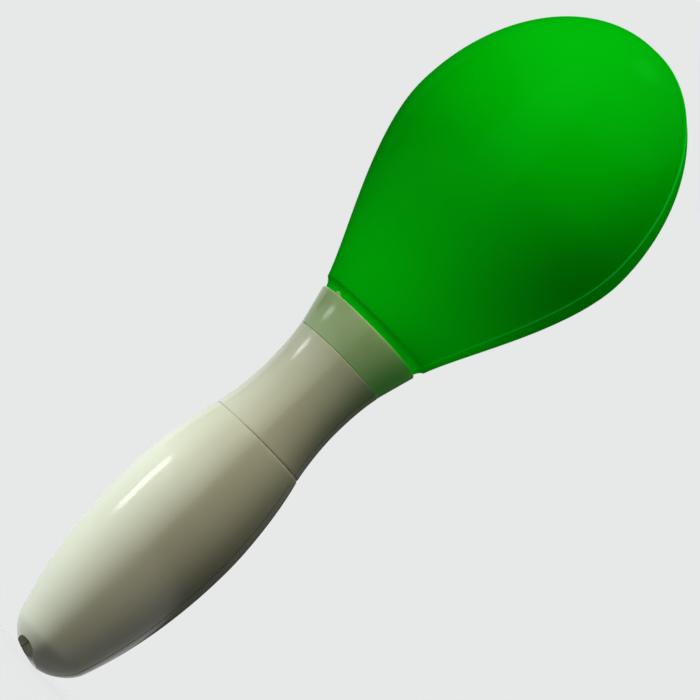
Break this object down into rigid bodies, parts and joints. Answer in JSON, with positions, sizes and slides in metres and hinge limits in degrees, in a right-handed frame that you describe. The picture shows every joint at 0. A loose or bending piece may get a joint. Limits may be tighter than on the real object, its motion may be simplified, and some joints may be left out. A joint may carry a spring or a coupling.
{
  "type": "light-up maraca",
  "caption": "Light-up maraca: a translucent green egg-shaped head with rattling pellets, a pale lit collar and a waisted off-white handle with a push button in its end.",
  "frame": {"origin": "on the maraca's axis at the end of its handle", "axes": "+Z along the axis towards the crown of the head; the moulding seam lies in the XZ plane"},
  "size_m": [0.077, 0.076, 0.2354],
  "materials": {
    "green_head": "glossy translucent green, lit from inside",
    "pale_collar": "pale translucent, lit green from inside",
    "handle_plastic": "glossy off-white moulding",
    "button_plastic": "satin off-white moulding",
    "inner_plastic": "plain moulding",
    "carrier_plastic": "black satin moulding",
    "clear_plastic": "clear plastic",
    "spring_steel": "plated steel",
    "board": "green circuit board",
    "chip_resin": "black resin",
    "cell_sleeve": "plain grey sleeve",
    "lead_red": "insulated wire",
    "lead_black": "insulated wire",
    "bead_plastic": "smooth pellets"
  },
  "bodies": {
    "handle": {"barrel_shell_front": "handle_plastic", "barrel_shell_rear": "handle_plastic", "button_retainer": "inner_plastic", "button_spring": "spring_steel"},
    "head": {"head_shell_front": "green_head", "head_shell_rear": "green_head", "chamber_lens": "clear_plastic", "collar": "pale_collar", "neck_shell_front": "handle_plastic", "neck_shell_rear": "handle_plastic", "battery_carrier": "carrier_plastic", "battery_1": "cell_sleeve", "battery_2": "cell_sleeve", "battery_3": "cell_sleeve", "contact_spring_1": "spring_steel", "contact_spring_2": "spring_steel", "contact_spring_3": "spring_steel", "contact_tab_1": "spring_steel", "contact_tab_2": "spring_steel", "contact_tab_3": "spring_steel", "tail_switch": "carrier_plastic", "led_board": "board", "led_1": "clear_plastic", "led_2": "clear_plastic", "led_3": "clear_plastic", "control_chip": "chip_resin", "shake_switch": "spring_steel", "lead_positive": "lead_red", "lead_negative": "lead_black"},
    "button": {"button_cap": "button_plastic"},
    "pellet_1": {"bead_1": "bead_plastic"},
    "pellet_2": {"bead_2": "bead_plastic"},
    "pellet_3": {"bead_3": "bead_plastic"},
    "pellet_4": {"bead_4": "bead_plastic"},
    "pellet_5": {"bead_5": "bead_plastic"},
    "pellet_6": {"bead_6": "bead_plastic"},
    "pellet_7": {"bead_7": "bead_plastic"},
    "pellet_8": {"bead_8": "bead_plastic"},
    "pellet_9": {"bead_9": "bead_plastic"}
  },
  "joints": [
    {"name": "head_pull_off", "type": "slide", "parent": "handle", "child": "head", "axis": [0, 0, 1], "range_m": [0, 0.075]},
    {"name": "button_press", "type": "slide", "parent": "handle", "child": "button", "axis": [0, 0, 1], "range_m": [0, 0.0012], "stiffness_N_per_m": 800, "springref_m": -0.0006, "deforming": ["button_spring"]},
    {"name": "bead_toss_1", "type": "slide", "parent": "head", "child": "pellet_1", "axis": [0, 0, 1], "range_m": [0, 0.097]},
    {"name": "bead_toss_2", "type": "slide", "parent": "head", "child": "pellet_2", "axis": [0, 0, 1], "range_m": [0, 0.097]},
    {"name": "bead_toss_3", "type": "slide", "parent": "head", "child": "pellet_3", "axis": [0, 0, 1], "range_m": [0, 0.097]},
    {"name": "bead_toss_4", "type": "slide", "parent": "head", "child": "pellet_4", "axis": [0, 0, 1], "range_m": [0, 0.094]},
    {"name": "bead_toss_5", "type": "slide", "parent": "head", "child": "pellet_5", "axis": [0, 0, 1], "range_m": [0, 0.094]},
    {"name": "bead_toss_6", "type": "slide", "parent": "head", "child": "pellet_6", "axis": [0, 0, 1], "range_m": [0, 0.094]},
    {"name": "bead_toss_7", "type": "slide", "parent": "head", "child": "pellet_7", "axis": [0, 0, 1], "range_m": [0, 0.094]},
    {"name": "bead_toss_8", "type": "slide", "parent": "head", "child": "pellet_8", "axis": [0, 0, 1], "range_m": [0, 0.094]},
    {"name": "bead_toss_9", "type": "slide", "parent": "head", "child": "pellet_9", "axis": [0, 0, 1], "range_m": [0, 0.094]}
  ]
}
